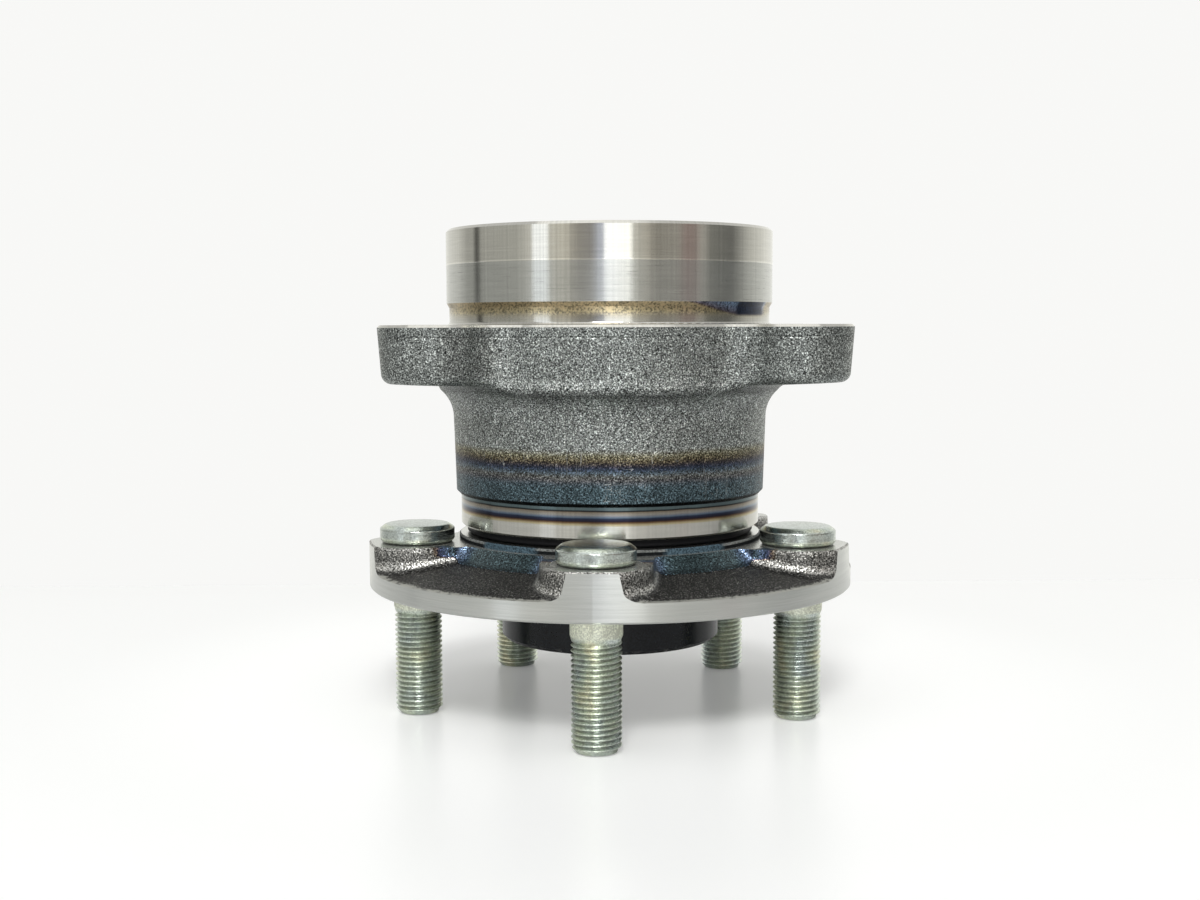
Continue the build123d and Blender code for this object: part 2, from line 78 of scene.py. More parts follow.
# Colours used more than once
WHITE = (1.0, 1.0, 1.0)
TURNED_STEEL = (0.575, 0.585, 0.56)
# Black painted as shade, used on the land round the seal
PAINTED_SHADE_BLACK = (0.009, 0.010, 0.011)

# Where the camera stands round the bearing, in degrees, and where the lamps aim, in metres
CAMERA_SIDE = -93.36
AIM_HEIGHT = 0.04


# ---------------------------------------------------------------- node helpers


def feed(tree, socket, value):
    """Links a socket to an output, or sets it to a plain value."""
    if isinstance(value, bpy.types.NodeSocket):
        tree.links.new(value, socket)
    elif socket.type == "RGBA" and len(value) == 3:
        socket.default_value = (*value, 1.0)
    else:
        socket.default_value = value


def add(tree, kind, inputs=(), **settings):
    """Adds a node, sets its properties and feeds its inputs, given by name or number."""
    node = tree.nodes.new(kind)
    for name, value in settings.items():
        setattr(node, name, value)
    for key, value in dict(inputs).items():
        feed(tree, node.inputs[key], value)
    return node


def calc(tree, operation, a, b=0.0, c=0.0, clamp=False):
    """One arithmetic step."""
    node = add(tree, "ShaderNodeMath", {0: a, 1: b, 2: c}, operation=operation, use_clamp=clamp)
    return node.outputs[0]


def times(tree, a, b, clamp=False):
    """a times b."""
    return calc(tree, "MULTIPLY", a, b, clamp=clamp)


def plus(tree, a, b):
    """a plus b."""
    return calc(tree, "ADD", a, b)


def minus(tree, a, b):
    """a minus b."""
    return calc(tree, "SUBTRACT", a, b)


def fade(tree, value, start, end, low=0.0, high=1.0):
    """Smooth step: low before start, high after end."""
    inputs = {0: value, 1: start, 2: end, 3: low, 4: high}
    return add(tree, "ShaderNodeMapRange", inputs, interpolation_type="SMOOTHSTEP").outputs[0]


def fall(tree, value, start, end):
    """Smooth step down: one before start, zero after end."""
    return fade(tree, value, start, end, 1.0, 0.0)


def between(tree, value, start, end, soft):
    """One from start to end, with soft sides."""
    rise = fade(tree, value, start - soft / 2, start + soft / 2)
    return times(tree, rise, fall(tree, value, end - soft / 2, end + soft / 2))


def blend(tree, share, a, b, mode="MIX"):
    """Colour a turned into b by a share."""
    inputs = {0: share, 6: a, 7: b}
    return add(tree, "ShaderNodeMix", inputs, data_type="RGBA", blend_type=mode).outputs[2]


def lerp(tree, share, a, b):
    """Number a turned into b by a share."""
    inputs = {0: share, 2: a, 3: b}
    return add(tree, "ShaderNodeMix", inputs, data_type="FLOAT").outputs[0]


def swing(tree, value, width):
    """Noise round zero: a value from 0 to 1 as one from -width / 2 to width / 2."""
    return times(tree, minus(tree, value, 0.5), width)


def share_of(tree, part, whole):
    """A part over a whole, kept from 0 to 1."""
    return calc(tree, "DIVIDE", part, whole, clamp=True)


def toned(tree, value, mask, factor):
    """A number times a factor where a mask is one."""
    return times(tree, value, lerp(tree, mask, 1.0, factor))


def painted(tree, colour, mask, cover, paint):
    """A colour under a coat of paint that covers part of it where a mask is one."""
    return blend(tree, times(tree, mask, cover), colour, paint)


def scaled(tree, vector, factor):
    """A colour or vector times a number."""
    node = add(tree, "ShaderNodeVectorMath", {0: vector, 3: factor}, operation="SCALE")
    return node.outputs[0]


def flat_length(tree, x, y):
    """Length of a flat vector (x, y)."""
    flat = add(tree, "ShaderNodeCombineXYZ", {0: x, 1: y}).outputs[0]
    return add(tree, "ShaderNodeVectorMath", {0: flat}, operation="LENGTH").outputs["Value"]


def tinted(tree, colour, tint):
    """A colour seen through a tint."""
    return blend(tree, 1.0, colour, tint, "MULTIPLY")


def noise(tree, place, scale, detail):
    """Plain noise at a place."""
    node = add(tree, "ShaderNodeTexNoise", {"Vector": place, "Scale": scale, "Detail": detail})
    return node.outputs[0]


def ramp(tree, share, stops):
    """A colour that runs through stops of (place, colour)."""
    node = tree.nodes.new("ShaderNodeValToRGB")
    elements = node.color_ramp.elements
    while len(elements) < len(stops):
        elements.new(0.5)
    for element, (place, colour) in zip(elements, stops):
        element.position = place
        element.color = (*colour, 1.0)
    feed(tree, node.inputs[0], share)
    return node.outputs[0]


def new_group(name, inputs, outputs):
    """An empty node group with named sockets; returns the tree, its input node and its output node.
    A vector input has no value of its own."""
    tree = bpy.data.node_groups.new(name, "ShaderNodeTree")
    for socket, kind, value in inputs:
        made = tree.interface.new_socket(socket, in_out="INPUT", socket_type=kind)
        if value is not None:
            made.default_value = value
    for socket, kind in outputs:
        tree.interface.new_socket(socket, in_out="OUTPUT", socket_type=kind)
    return tree, tree.nodes.new("NodeGroupInput"), tree.nodes.new("NodeGroupOutput")


def use(tree, group, inputs=()):
    """Places a node group and feeds its inputs; returns its outputs."""
    return add(tree, "ShaderNodeGroup", inputs, node_tree=group).outputs


FLOAT, VECTOR, COLOUR = "NodeSocketFloat", "NodeSocketVector", "NodeSocketColor"


# ---------------------------------------------------------------- shared effects


def build_bearing_place():
    """Where a point is on the bearing: its place in millimetres, its radius, its height and its turn."""
    tree, _, out = new_group(
        "bearing_place",
        [],
        [("Place", VECTOR), ("Radius", FLOAT), ("Height", FLOAT), ("Turn", FLOAT)],
    )
    coords = tree.nodes.new("ShaderNodeTexCoord").outputs["Object"]
    place = scaled(tree, coords, 1.0 / MM)
    split = add(tree, "ShaderNodeSeparateXYZ", {0: place}).outputs
    radius = flat_length(tree, split[0], split[1])
    feed(tree, out.inputs["Place"], place)
    feed(tree, out.inputs["Radius"], radius)
    feed(tree, out.inputs["Height"], split[2])
    feed(tree, out.inputs["Turn"], calc(tree, "ARCTAN2", split[1], split[0]))
    return tree


def build_turning_marks():
    """Fine rings that a lathe leaves: noise that changes fast across the feed and slowly round the
    axis. Marks are the single cuts, broken into long dashes, and Streaks are wider bands of them."""
    tree, given, out = new_group(
        "turning_marks",
        [("Radius", FLOAT, 0.0), ("Height", FLOAT, 0.0), ("Turn", FLOAT, 0.0), ("Feed", FLOAT, 0.2)],
        [("Marks", FLOAT), ("Streaks", FLOAT)],
    )
    across = add(
        tree,
        "ShaderNodeCombineXYZ",
        {
            0: calc(tree, "DIVIDE", given.outputs["Radius"], given.outputs["Feed"]),
            1: calc(tree, "DIVIDE", given.outputs["Height"], given.outputs["Feed"]),
            2: times(tree, calc(tree, "COSINE", given.outputs["Turn"]), 4.0),
        },
    ).outputs[0]
    round_axis = times(tree, calc(tree, "SINE", given.outputs["Turn"]), 4.0)
    marks = add(
        tree,
        "ShaderNodeTexNoise",
        {"Vector": across, "W": round_axis, "Scale": 1.0, "Detail": 2.0, "Roughness": 0.6},
        noise_dimensions="4D",
    )
    slow = scaled(tree, across, 0.14)
    feed(tree, out.inputs["Marks"], marks.outputs[0])
    feed(tree, out.inputs["Streaks"], noise(tree, slow, 1.0, 2.0))
    return tree


def build_forged_skin():
    """Shot-blasted forging: fine grains, the brightest of them painted as glints, softer dents and slow
    clouds of tone."""
    tree, given, out = new_group(
        "forged_skin",
        [("Place", VECTOR, None), ("Grain", FLOAT, 0.4)],
        [("Grains", FLOAT), ("Painted Glints", FLOAT), ("Dents", FLOAT), ("Clouds", FLOAT), ("Relief", FLOAT)],
    )
    small = calc(tree, "DIVIDE", 1.0, given.outputs["Grain"])
    place = given.outputs["Place"]
    grains = add(
        tree,
        "ShaderNodeTexNoise",
        {"Vector": place, "Scale": small, "Detail": 1.5, "Roughness": 0.6},
    ).outputs[0]
    pits = add(
        tree,
        "ShaderNodeTexVoronoi",
        {"Vector": place, "Scale": times(tree, small, 0.8), "Randomness": 1.0},
    ).outputs["Distance"]
    dents = noise(tree, place, 0.45, 3.0)
    clouds = noise(tree, place, 0.09, 3.0)
    relief = calc(tree, "MULTIPLY_ADD", pits, 0.55, times(tree, grains, 0.6))
    feed(tree, out.inputs["Grains"], fade(tree, grains, 0.30, 0.70))
    # The brightest grains, painted as glints in the colour
    feed(tree, out.inputs["Painted Glints"], fade(tree, grains, 0.57, 0.70))
    feed(tree, out.inputs["Dents"], dents)
    feed(tree, out.inputs["Clouds"], clouds)
    feed(tree, out.inputs["Relief"], relief)
    return tree


def build_temper_colour():
    """Oxide colours of heated steel, as a tint: straw, brown, purple, dark blue, pale blue, grey and
    slate."""
    tree, given, out = new_group("temper_colour", [("Heat", FLOAT, 0.0)], [("Tint", COLOUR)])
    tint = ramp(
        tree,
        given.outputs["Heat"],
        [
            (0.0, WHITE),
            (0.16, (0.80, 0.70, 0.48)),
            (0.28, (0.46, 0.36, 0.23)),
            (0.40, (0.17, 0.14, 0.17)),
            (0.50, (0.13, 0.17, 0.30)),
            (0.60, (0.36, 0.45, 0.57)),
            (0.70, (0.53, 0.51, 0.50)),
            (0.80, (0.40, 0.38, 0.42)),
            (0.90, (0.31, 0.39, 0.48)),
            (1.0, (0.27, 0.38, 0.46)),
        ],
    )
    feed(tree, out.inputs["Tint"], tint)
    return tree


def build_scratches():
    """Sparse fine scratches: thin ridges of stretched noise, one set along the axis and one aslant."""
    tree, given, out = new_group("scratches", [("Place", VECTOR, None)], [("Scratches", FLOAT)])
    sets = []
    for tilt, stretch in ((0.5, (0.35, 0.35, 0.02)), (-0.9, (0.05, 0.4, 0.3))):
        turned = add(
            tree,
            "ShaderNodeMapping",
            {"Vector": given.outputs["Place"], "Rotation": (tilt, tilt * 0.7, tilt), "Scale": stretch},
        ).outputs[0]
        wave = noise(tree, turned, 3.0, 1.0)
        off = calc(tree, "ABSOLUTE", minus(tree, wave, 0.62))
        sets.append(fall(tree, off, 0.0, 0.006))
    feed(tree, out.inputs["Scratches"], calc(tree, "MAXIMUM", sets[0], sets[1]))
    return tree


def build_stud_place():
    """Where a point is beside the nearest stud: its distance from the stud's axis and its turn from
    the stud's direction round the bearing."""
    tree, given, out = new_group(
        "stud_place",
        [("Radius", FLOAT, 0.0), ("Turn", FLOAT, 0.0)],
        [("Out", FLOAT), ("Aside", FLOAT)],
    )
    sector = math.radians(STUD_STEP)
    turn = minus(tree, given.outputs["Turn"], math.radians(FIRST_STUD_ANGLE))
    turn = calc(tree, "WRAP", turn, sector / 2, -sector / 2)
    along = times(tree, given.outputs["Radius"], calc(tree, "COSINE", turn))
    along = minus(tree, along, STUD_CIRCLE_RADIUS)
    across = times(tree, given.outputs["Radius"], calc(tree, "SINE", turn))
    feed(tree, out.inputs["Out"], flat_length(tree, along, across))
    feed(tree, out.inputs["Aside"], calc(tree, "ABSOLUTE", turn))
    return tree


bearing_place = build_bearing_place()
stud_place = build_stud_place()
turning_marks = build_turning_marks()
forged_skin = build_forged_skin()
temper_colour = build_temper_colour()
scratch_lines = build_scratches()


# ---------------------------------------------------------------- materials


def start_material(name, metallic=1.0, roughness=0.4, anisotropic=0.0, **sockets):
    """A material with one Principled shader, whose other sockets are given by name with _ for spaces;
    returns the material, its tree and the shader."""
    material = bpy.data.materials.new(name)
    material.use_nodes = True
    tree = material.node_tree
    shader = tree.nodes["Principled BSDF"]
    shader.inputs["Metallic"].default_value = metallic
    shader.inputs["Roughness"].default_value = roughness
    shader.inputs["Anisotropic"].default_value = anisotropic
    for key, value in sockets.items():
        feed(tree, shader.inputs[key.replace("_", " ")], value)
    if anisotropic:
        # A turn of a quarter stretches the gloss across the marks, which run round the axis
        shader.inputs["Anisotropic Rotation"].default_value = 0.25
        tangent = add(tree, "ShaderNodeTangent", direction_type="RADIAL", axis="Z")
        feed(tree, shader.inputs["Tangent"], tangent.outputs[0])
    return material, tree, shader


def dress(tree, shader, colour, rough=None, relief=None, depth=0.0):
    """Feeds a shader's colour and roughness, and its normal from a relief with a depth in
    millimetres."""
    feed(tree, shader.inputs["Base Color"], colour)
    if rough is not None:
        feed(tree, shader.inputs["Roughness"], rough)
    if relief is not None:
        inputs = {"Height": relief, "Strength": 1.0, "Distance": depth * MM}
        feed(tree, shader.inputs["Normal"], add(tree, "ShaderNodeBump", inputs).outputs[0])


def lathe_marks(tree, at, feed_mm):
    """The turning marks at a place on the bearing."""
    inputs = {key: at[key] for key in ("Radius", "Height", "Turn")}
    return use(tree, turning_marks, {**inputs, "Feed": feed_mm})


def skin_at(tree, at, grain):
    """The forged skin at a place on the bearing, with grains of a size in millimetres."""
    return use(tree, forged_skin, {"Place": at["Place"], "Grain": grain})


def stud_at(tree, at):
    """Where a place on the bearing is beside the nearest stud."""
    return use(tree, stud_place, {"Radius": at["Radius"], "Turn": at["Turn"]})


def end_band_tint(tree, height):
    """Heat on the end band: clean steel, brown, navy, pale blue and tan, then a black line painted as
    shade under the barrel's step, and the barrel's teal."""
    return ramp(
        tree,
        share_of(tree, minus(tree, height, BAND_HEAT_START), BAND_HEAT_LENGTH),
        [
            (0.0, WHITE),
            (0.10, (0.80, 0.70, 0.46)),
            (0.22, (0.24, 0.15, 0.09)),
            (0.30, (0.040, 0.030, 0.045)),
            (0.45, (0.045, 0.06, 0.12)),
            (0.54, (0.22, 0.29, 0.42)),
            (0.66, (0.44, 0.43, 0.42)),
            (0.80, (0.36, 0.31, 0.26)),
            # A black line painted as shade under the barrel's step
            (0.86, (0.03, 0.03, 0.035)),
            (0.89, (0.03, 0.035, 0.04)),
            (0.94, (0.16, 0.22, 0.25)),
        ],
    )


def neck_tint(tree, at, skin, height):
    """Straw heat on the neck, and a patch that went on to violet and pale blue, with a nearly black band
    between two turns round the axis.
    """
    speckle = times(tree, swing(tree, skin["Grains"], 0.10), fade(tree, height, 67.5, 70.0))
    heat = plus(tree, times(tree, fade(tree, height, 66.6, 70.7), 0.235), speckle)
    straw = use(tree, temper_colour, {"Heat": heat})[0]

    # The lower edge of the patch runs down to the right, from 71.3 to 68.1
    degrees = times(tree, at["Turn"], 180.0 / math.pi)
    edge = calc(tree, "MULTIPLY_ADD", fade(tree, degrees, -70.0, -44.0), -3.2, 71.3)
    depth = minus(tree, height, edge)
    patch = between(tree, degrees, -69.0, -25.0, 6.0)
    patch = times(tree, fade(tree, depth, -0.25, 0.55), patch)
    violet = ramp(
        tree,
        times(tree, depth, 0.4, clamp=True),
        [(0.0, (0.26, 0.19, 0.22)), (0.5, (0.30, 0.34, 0.52)), (1.0, (0.30, 0.44, 0.74))],
    )
    tint = blend(tree, patch, straw, violet)
    navy = between(tree, degrees, -45.5, -26.5, 3.0)
    navy = times(tree, navy, fade(tree, height, 67.7, 68.7))
    return blend(tree, navy, tint, (0.022, 0.036, 0.085))


def make_ring_seats():
    """Turned and ground steel of the outer ring: pilot, neck, flange top, end band and raceways."""
    material, tree, shader = start_material("ring_seats", anisotropic=0.8)
    at = use(tree, bearing_place)
    marks = lathe_marks(tree, at, 0.30)
    skin = skin_at(tree, at, 0.5)
    outside = fade(tree, at["Radius"], END_BAND_RADIUS, END_BAND_RADIUS + 0.5)
    neck = times(tree, between(tree, at["Height"], NECK_START, NECK_END, 0.08), outside)
    height = plus(tree, at["Height"], swing(tree, skin["Clouds"], 0.6))
    on_band = between(tree, at["Height"], 10.0, 30.0, 0.1)
    tint = blend(tree, on_band, WHITE, end_band_tint(tree, height))
    tint = blend(tree, outside, WHITE, tint)
    tint = blend(tree, neck, tint, neck_tint(tree, at, skin, height))

    # The neck sparkles near its top and is dull near its foot. The lower half of the pilot is dull,
    # with short dark scratches, and ends in a bright step
    lower_pilot = between(tree, at["Height"], NECK_END + 0.04, PILOT_STEP, 0.05)
    lower_pilot = times(tree, lower_pilot, outside)
    sparkle = times(tree, neck, fade(tree, at["Height"], 67.6, 69.6))
    bright = lerp(tree, marks["Marks"], 0.80, 1.14)
    bright = lerp(tree, sparkle, bright, lerp(tree, skin["Grains"], 0.30, 1.65))
    nicks = fade(tree, lathe_marks(tree, at, 0.13)["Marks"], 0.58, 0.66)
    nicks = times(tree, nicks, fade(tree, skin["Dents"], 0.40, 0.60))
    bright = toned(tree, bright, times(tree, nicks, lower_pilot), 0.70)
    step = between(tree, at["Height"], PILOT_STEP - 0.05, PILOT_STEP + 0.35, 0.1)
    bright = toned(tree, bright, step, 1.25)
    bright = toned(tree, bright, between(tree, at["Height"], 66.3, 70.0, 1.2), 0.84)

    # Chatter from the tool gives fine upright lines, and the foot of the end band is duller
    chatter = add(
        tree,
        "ShaderNodeTexNoise",
        {"W": times(tree, at["Turn"], 60.0), "Scale": 1.0, "Detail": 2.0},
        noise_dimensions="1D",
    ).outputs[0]
    bright = times(tree, bright, lerp(tree, chatter, 0.86, 1.14))
    low = fall(tree, at["Height"], BAND_HEAT_START, BAND_HEAT_START + 1.0)
    bright = toned(tree, bright, times(tree, low, outside), 0.86)
    steel = blend(tree, lower_pilot, (0.61, 0.60, 0.555), (0.50, 0.505, 0.48))
    colour = scaled(tree, tinted(tree, steel, tint), bright)

    rough = lerp(tree, lower_pilot, 0.11, 0.17)
    rough = lerp(tree, sparkle, rough, 0.28)
    rough = plus(tree, rough, times(tree, marks["Streaks"], 0.06))
    relief = lerp(tree, sparkle, times(tree, marks["Marks"], 0.14), skin["Relief"])
    dress(tree, shader, colour, rough, relief, 0.010)
    return material


def make_ring_forging():
    """Shot-blasted forging of the barrel and flange, with temper colours of the hardened raceway."""
    material, tree, shader = start_material("ring_forging", metallic=0.85, roughness=0.5)
    at = use(tree, bearing_place)
    skin = skin_at(tree, at, 0.34)
    scratches = use(tree, scratch_lines, {"Place": at["Place"]})[0]

    wobble = swing(tree, skin["Clouds"], 1.2)
    speckle = swing(tree, skin["Grains"], 0.8)
    height = plus(tree, at["Height"], plus(tree, wobble, speckle))
    heat = share_of(tree, minus(tree, BARREL_HEAT_TOP, height), BARREL_HEAT_LENGTH)
    tint = use(tree, temper_colour, {"Heat": heat})[0]

    # The brightest grains are painted as glints and dusty patches are paler. The flange has a pale lower
    # edge, partly wear and partly a painted highlight, with painted shade under it, a parting line near
    # its top and duller lobes, and the barrel's foot has a black line painted as shade on its downward
    # chamfer
    grains = lerp(tree, skin["Grains"], 0.06, 1.54)
    # The brightest grains painted as glints
    grains = calc(tree, "MULTIPLY_ADD", skin["Painted Glints"], 1.9, grains)
    tone = times(tree, grains, lerp(tree, skin["Clouds"], 0.74, 1.20))
    tone = times(tree, tone, fade(tree, skin["Dents"], 0.52, 0.72, 1.0, 1.4))
    beyond = fade(tree, at["Radius"], 42.0, 43.5)
    # Pale band on the flange's lower edge: partly wear, partly a painted highlight
    rim = times(tree, between(tree, height, 51.4, 53.2, 1.4), beyond)
    tone = toned(tree, tone, rim, 1.4)
    # Painted shade under the flange's lower edge
    under = times(tree, between(tree, height, 49.0, 51.0, 1.0), beyond)
    tone = toned(tree, tone, under, 0.62)
    parting = between(tree, plus(tree, at["Height"], wobble), 62.9, 63.3, 0.35)
    tone = toned(tree, tone, times(tree, parting, 0.5), 0.5)
    tone = toned(tree, tone, fade(tree, at["Radius"], 47.0, 52.0), 0.90)
    # Black line painted as shade on the barrel's downward-facing foot chamfer
    tone = times(tree, tone, fade(tree, at["Height"], 23.9, 24.2, 0.04, 1.0))
    colour = scaled(tree, tinted(tree, (0.246, 0.262, 0.252), tint), tone)
    mark = times(tree, scratches, fade(tree, skin["Clouds"], 0.46, 0.60))
    colour = painted(tree, colour, mark, 0.7, (0.66, 0.68, 0.66))
    relief = plus(tree, skin["Relief"], times(tree, skin["Dents"], 1.2))
    relief = minus(tree, relief, times(tree, parting, 1.2))
    dress(tree, shader, colour, lerp(tree, skin["Grains"], 0.58, 0.34), relief, 0.10)
    return material


def make_bolt_holes():
    """Tapped holes for the knuckle bolts: a helical thread bump round each hole's own axis, with its
    roots painted darker as shade.
    """
    material, tree, shader = start_material("tapped_holes", roughness=0.32)
    at = use(tree, bearing_place)
    split = add(tree, "ShaderNodeSeparateXYZ", {0: at["Place"]}).outputs
    aside = minus(tree, calc(tree, "ABSOLUTE", split[0]), BOLT_HALF_WIDTH)
    across = minus(tree, calc(tree, "ABSOLUTE", split[1]), BOLT_HALF_DEPTH)
    turn = calc(tree, "DIVIDE", calc(tree, "ARCTAN2", across, aside), 2 * math.pi)
    phase = minus(tree, calc(tree, "DIVIDE", at["Height"], THREAD_PITCH), turn)
    groove = calc(tree, "ABSOLUTE", minus(tree, calc(tree, "FRACT", phase), 0.5))
    depth = fade(tree, groove, 0.06, 0.46)
    threaded = fall(tree, at["Height"], 64.9, 65.2)
    # Thread roots painted darker as shade
    colour = blend(tree, depth, (0.16, 0.16, 0.15), (0.5, 0.5, 0.48))
    dress(tree, shader, colour, relief=times(tree, depth, threaded), depth=0.6)
    return material


def make_hub_turned():
    """Turned steel of the hub: rim, wheel face, raceway, spindle and its formed lip."""
    material, tree, shader = start_material("hub_turned", anisotropic=0.75)
    at = use(tree, bearing_place)
    marks = lathe_marks(tree, at, 0.34)
    on_face = fall(tree, at["Height"], 0.02, 0.2)
    tone = lerp(tree, marks["Marks"], 0.80, 1.16)
    tone = times(tree, tone, lerp(tree, marks["Streaks"], 0.97, 1.03))
    rough = lerp(tree, on_face, 0.20, 0.34)
    rough = plus(tree, rough, times(tree, marks["Streaks"], 0.07))
    relief = lerp(tree, on_face, times(tree, marks["Marks"], 0.3), marks["Marks"])
    dress(tree, shader, scaled(tree, TURNED_STEEL, tone), rough, relief, 0.012)
    return material


def make_seal_land():
    """The land round the seal: teal with heat over the pockets; behind each boss and on its inner part
    black painted as shade, with a grey strip painted as a highlight near the top of its wall behind each
    boss."""
    material, tree, shader = start_material(
        "seal_land", metallic=0.0, roughness=0.85, Specular_IOR_Level=0.06
    )
    at = use(tree, bearing_place)
    skin = skin_at(tree, at, 0.4)
    behind = fall(tree, stud_at(tree, at)["Aside"], 0.38, 0.44)
    # A grey strip near the top of the land's wall behind each boss, painted as a highlight
    worn = between(tree, at["Height"], 12.5, 13.06, 0.15)
    worn = times(tree, worn, fade(tree, at["Radius"], 38.0, 38.2))
    # Behind each boss the land is black, painted as shade, with the grey strip painted as a highlight
    black = blend(tree, worn, PAINTED_SHADE_BLACK, (0.17, 0.175, 0.17))
    # Inside 37.3 mm the land is black, painted as shade
    outer = fade(tree, at["Radius"], 37.3, 37.6)
    teal = blend(tree, outer, PAINTED_SHADE_BLACK, (0.060, 0.094, 0.118))
    colour = scaled(tree, blend(tree, behind, teal, black), lerp(tree, skin["Grains"], 0.4, 1.6))
    dress(tree, shader, colour, relief=skin["Relief"], depth=0.03)
    return material


def pocket_tint(tree, heat):
    """Heat in the pockets: brown, navy, blue and two shades of teal."""
    return ramp(
        tree,
        heat,
        [
            (0.0, WHITE),
            (0.14, (0.80, 0.58, 0.40)),
            (0.28, (0.14, 0.18, 0.40)),
            (0.52, (0.28, 0.40, 0.68)),
            (0.80, (0.24, 0.37, 0.48)),
            (1.0, (0.23, 0.36, 0.42)),
        ],
    )


def boss_spots(tree, at, from_stud):
    """Where the flat boss tops are machined: round the studs, by the cone and along the rim."""
    spot = fall(tree, from_stud, SPOT_FACE_RADIUS, SPOT_FACE_RADIUS + 0.3)
    spot = calc(tree, "MAXIMUM", spot, fall(tree, at["Radius"], CONE_RADIUS, CONE_RADIUS + 1.0))
    spot = calc(tree, "MAXIMUM", spot, fade(tree, at["Radius"], 56.8, 57.2))
    flat = between(tree, at["Height"], BOSS_HEIGHT - 0.02, BOSS_HEIGHT + 0.02, 0.02)
    return times(tree, spot, flat)


def make_hub_forging():
    """Dark forged pockets: brown speckled floors with painted glints, arm sides with a painted highlight
    band at the foot, painted shade above it and a painted highlight on the top edge, a line of painted
    shade where the cone begins, machined spots round the stud heads, a teal and blue shoulder round the
    seal and a pale burr along the rim."""
    material, tree, shader = start_material("hub_forging", metallic=0.8, roughness=0.4)
    at = use(tree, bearing_place)
    skin = skin_at(tree, at, 0.36)
    stud = stud_at(tree, at)
    ragged = swing(tree, skin["Dents"], 2.2)
    speckled = swing(tree, skin["Grains"], 1.2)

    # Height above the floor, which falls from 7.9 at the cone to 4.7 at the rim, as a share of the arm
    floor_slope, floor_at_axis = -0.182, 15.9
    floor = calc(tree, "MULTIPLY_ADD", at["Radius"], floor_slope, floor_at_axis)
    above = minus(tree, at["Height"], floor)
    above = calc(tree, "MULTIPLY_ADD", ragged, 0.25, above)
    on_arm = fade(tree, above, 0.2, 0.8)
    share = share_of(tree, above, minus(tree, BOSS_HEIGHT, floor))

    # Heat reaches further out on the arms than on the floors; on the cone it is weaker behind the studs
    top_half = fade(tree, share, 0.24, 0.62)
    reach = calc(tree, "MULTIPLY_ADD", top_half, 5.6, 44.4)
    width = calc(tree, "MULTIPLY_ADD", top_half, 5.2, 1.0)
    radius = plus(tree, at["Radius"], plus(tree, times(tree, ragged, 0.5), speckled))
    cone = fall(tree, at["Radius"], CONE_RADIUS + 0.3, CONE_RADIUS + 0.5)
    heat = share_of(tree, minus(tree, reach, radius), width)
    aside = plus(tree, stud["Aside"], times(tree, ragged, 0.03))
    over_pocket = fade(tree, aside, 0.30, 0.44)
    heat = lerp(tree, cone, heat, lerp(tree, over_pocket, 0.55, 1.0))

    # Brightness from the floor up the arm: the floor's own dark tone, then a painted highlight at the
    # arm's foot, painted shade above it and a painted highlight at its top edge; dimmed by heat, and by
    # a line of painted shade where the cone begins
    profile = [(0.0, 0.052), (0.05, 0.044), (0.13, 0.09), (0.25, 0.55)]
    profile += [(0.37, 0.38), (0.52, 0.18), (0.8, 0.23), (0.95, 0.44)]
    floor_tone_and_painted_light = ramp(tree, share, [(place, (level, level, level)) for place, level in profile])
    floor_tone_and_painted_light = lerp(tree, heat, floor_tone_and_painted_light, lerp(tree, times(tree, cone, over_pocket), 0.48, 0.24))
    # Painted shade in a line where the cone begins
    line = between(tree, radius, CONE_RADIUS - 0.4, CONE_RADIUS + 0.8, 0.4)
    floor_tone_and_painted_light = toned(tree, floor_tone_and_painted_light, times(tree, line, 0.8), 0.25)
    # Painted glints: the brightest grains made brighter, most of all on the floors
    painted_glints = times(tree, skin["Painted Glints"], lerp(tree, on_arm, 6.5, 2.0))
    grains = plus(tree, painted_glints, lerp(tree, skin["Grains"], 0.02, 1.5))
    tone = times(tree, grains, lerp(tree, skin["Clouds"], 0.75, 1.2))
    colour = tinted(tree, (1.0, 0.985, 0.93), pocket_tint(tree, heat))
    colour = scaled(tree, colour, times(tree, tone, floor_tone_and_painted_light))
    burr = times(tree, fade(tree, radius, 60.3, 60.9), fall(tree, above, 0.2, 0.5))
    burr = times(tree, burr, fade(tree, skin["Dents"], 0.34, 0.46, 0.35, 1.0))
    colour = blend(tree, burr, colour, (0.50, 0.50, 0.46))

    # Bare turned steel on the machined spots
    spot = boss_spots(tree, at, stud["Out"])
    marks = lathe_marks(tree, at, 0.34)
    bare = scaled(tree, TURNED_STEEL, lerp(tree, marks["Marks"], 0.8, 1.16))
    colour = blend(tree, spot, colour, bare)
    rough = lerp(tree, on_arm, 0.56, lerp(tree, skin["Grains"], 0.46, 0.24))
    rough = lerp(tree, spot, rough, 0.26)
    dents = times(tree, skin["Dents"], lerp(tree, heat, 1.3, 0.0))
    rough_skin = calc(tree, "MULTIPLY_ADD", skin["Relief"], lerp(tree, cone, 1.0, 0.2), dents)
    relief = lerp(tree, spot, rough_skin, times(tree, marks["Marks"], 0.05))
    dress(tree, shader, colour, rough, relief, 0.13)
    return material


